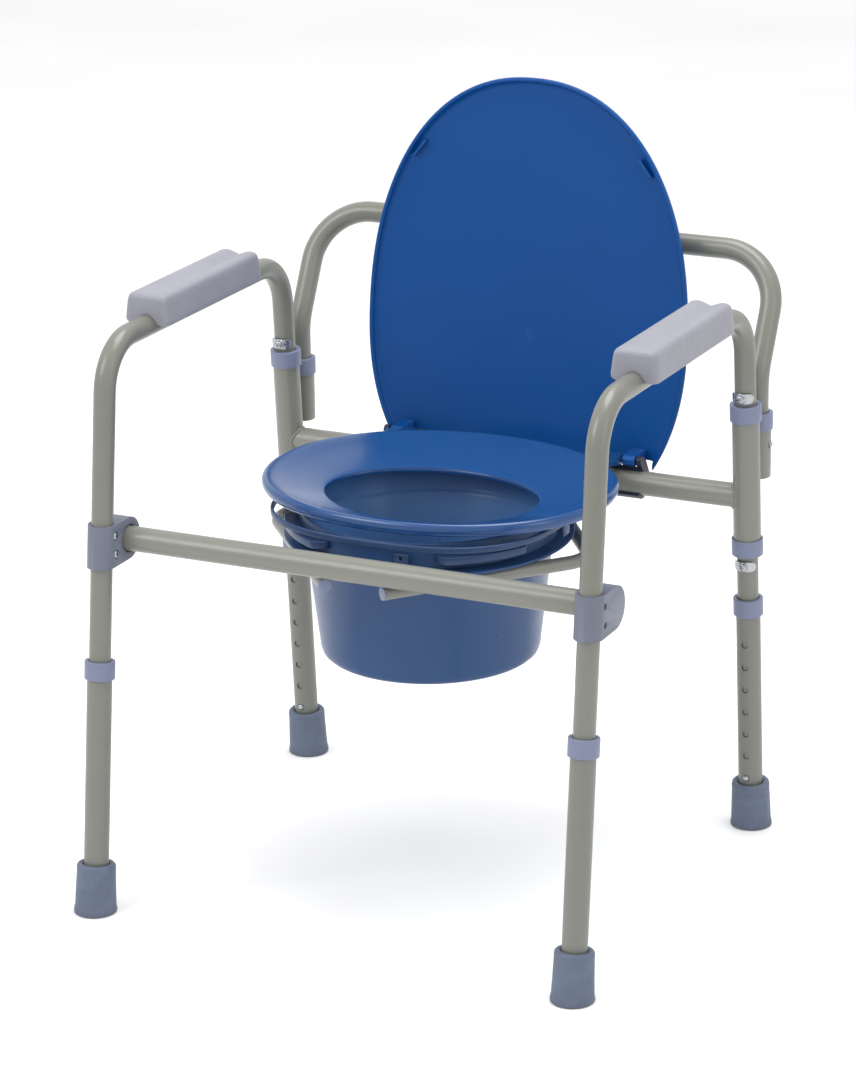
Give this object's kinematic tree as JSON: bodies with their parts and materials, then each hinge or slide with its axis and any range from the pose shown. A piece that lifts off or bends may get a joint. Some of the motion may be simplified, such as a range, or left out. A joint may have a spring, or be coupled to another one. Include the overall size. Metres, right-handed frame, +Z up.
{
  "type": "commode chair",
  "caption": "Free-standing bedside commode chair: bent-tube frame with padded arms and height-adjustable legs, hinged seat ring and lid over a removable pail.",
  "frame": {"origin": "middle of the bounding box in X and Y, on the floor", "axes": "+X to the left hand of a person sitting in it, -Y the front, +Z up"},
  "size_m": [0.578, 0.5733, 0.7741],
  "materials": {
    "paint": "satin",
    "extension_paint": "satin",
    "collar_plastic": "satin",
    "clamp_plastic": "matte",
    "foot_rubber": "matte",
    "pad_foam": "matte, fine grain",
    "seat_plastic": "glossy",
    "pail_plastic": "satin",
    "clip_plastic": "satin",
    "steel": "bright"
  },
  "bodies": {
    "frame": {"side_frame_left": "paint", "arm_pad_left": "pad_foam", "rear_sleeve_left": "paint", "sleeve_collar_top_left": "collar_plastic", "sleeve_collar_bottom_left": "collar_plastic", "backrest_socket_left": "paint", "socket_collar_left": "collar_plastic", "front_clamp_left": "clamp_plastic", "hinge_clip_left": "clip_plastic", "hoop_plug_left": "collar_plastic", "saddle_washer_low_left": "steel", "stop_screw_low_left": "steel", "clamp_screw_low_left": "steel", "saddle_washer_high_left": "steel", "stop_screw_high_left": "steel", "clamp_screw_high_left": "steel", "side_frame_right": "paint", "arm_pad_right": "pad_foam", "rear_sleeve_right": "paint", "sleeve_collar_top_right": "collar_plastic", "sleeve_collar_bottom_right": "collar_plastic", "backrest_socket_right": "paint", "socket_collar_right": "collar_plastic", "front_clamp_right": "clamp_plastic", "hinge_clip_right": "clip_plastic", "hoop_plug_right": "collar_plastic", "saddle_washer_low_right": "steel", "stop_screw_low_right": "steel", "clamp_screw_low_right": "steel", "saddle_washer_high_right": "steel", "stop_screw_high_right": "steel", "clamp_screw_high_right": "steel", "rear_crossbar": "paint", "front_crossbar": "paint", "pail_hoop": "paint", "hoop_bracket": "paint", "pail": "pail_plastic", "pail_handle": "pail_plastic"},
    "seat": {"seat_ring": "seat_plastic"},
    "lid": {"lid": "seat_plastic"},
    "backrest": {"backrest_bar": "paint"},
    "leg_front_left": {"leg_extension_front_left": "extension_paint", "leg_collar_front_left": "collar_plastic", "foot_front_left": "foot_rubber"},
    "leg_button_front_left_pin": {"leg_button_front_left": "steel"},
    "leg_front_right": {"leg_extension_front_right": "extension_paint", "leg_collar_front_right": "collar_plastic", "foot_front_right": "foot_rubber"},
    "leg_button_front_right_pin": {"leg_button_front_right": "steel"},
    "leg_rear_left": {"leg_extension_rear_left": "extension_paint", "leg_collar_rear_left": "collar_plastic", "foot_rear_left": "foot_rubber"},
    "leg_button_rear_left_pin": {"leg_button_rear_left": "steel"},
    "leg_rear_right": {"leg_extension_rear_right": "extension_paint", "leg_collar_rear_right": "collar_plastic", "foot_rear_right": "foot_rubber"},
    "leg_button_rear_right_pin": {"leg_button_rear_right": "steel"},
    "backrest_button_left_pin": {"backrest_button_left": "steel"},
    "backrest_button_right_pin": {"backrest_button_right": "steel"}
  },
  "joints": [
    {"name": "lid_hinge", "type": "hinge", "parent": "frame", "child": "lid", "pos_m": [0, 0.1864, 0.394], "axis": [-1, 0, 0], "range_deg": [-95.5, 0]},
    {"name": "seat_hinge", "type": "hinge", "parent": "frame", "child": "seat", "pos_m": [0, 0.1864, 0.394], "axis": [-1, 0, 0], "range_deg": [0, 92]},
    {"name": "leg_slide_front_left", "type": "slide", "parent": "frame", "child": "leg_front_left", "axis": [0, -0.1142, -0.9935], "range_m": [0, 0.1524]},
    {"name": "leg_button_front_left_press", "type": "slide", "parent": "frame", "child": "leg_button_front_left_pin", "axis": [0, -0.9935, 0.1142], "range_m": [0, 0.0045], "stiffness_N_per_m": 900, "springref_m": -0.002},
    {"name": "leg_slide_front_right", "type": "slide", "parent": "frame", "child": "leg_front_right", "axis": [0, -0.1142, -0.9935], "range_m": [0, 0.1524]},
    {"name": "leg_button_front_right_press", "type": "slide", "parent": "frame", "child": "leg_button_front_right_pin", "axis": [0, -0.9935, 0.1142], "range_m": [0, 0.0045], "stiffness_N_per_m": 900, "springref_m": -0.002},
    {"name": "leg_slide_rear_left", "type": "slide", "parent": "frame", "child": "leg_rear_left", "axis": [0, 0.0649, -0.9979], "range_m": [0, 0.1524]},
    {"name": "leg_button_rear_left_press", "type": "slide", "parent": "frame", "child": "leg_button_rear_left_pin", "axis": [0, 0.9979, 0.0649], "range_m": [0, 0.0045], "stiffness_N_per_m": 900, "springref_m": -0.002},
    {"name": "leg_slide_rear_right", "type": "slide", "parent": "frame", "child": "leg_rear_right", "axis": [0, 0.0649, -0.9979], "range_m": [0, 0.1524]},
    {"name": "leg_button_rear_right_press", "type": "slide", "parent": "frame", "child": "leg_button_rear_right_pin", "axis": [0, 0.9979, 0.0649], "range_m": [0, 0.0045], "stiffness_N_per_m": 900, "springref_m": -0.002},
    {"name": "backrest_lift", "type": "slide", "parent": "frame", "child": "backrest", "axis": [0, 0, 1], "range_m": [0, 0.252]},
    {"name": "backrest_button_left_press", "type": "slide", "parent": "backrest", "child": "backrest_button_left_pin", "axis": [1, 0, 0], "range_m": [0, 0.006], "stiffness_N_per_m": 900, "springref_m": -0.002},
    {"name": "backrest_button_right_press", "type": "slide", "parent": "backrest", "child": "backrest_button_right_pin", "axis": [-1, 0, 0], "range_m": [0, 0.006], "stiffness_N_per_m": 900, "springref_m": -0.002}
  ]
}
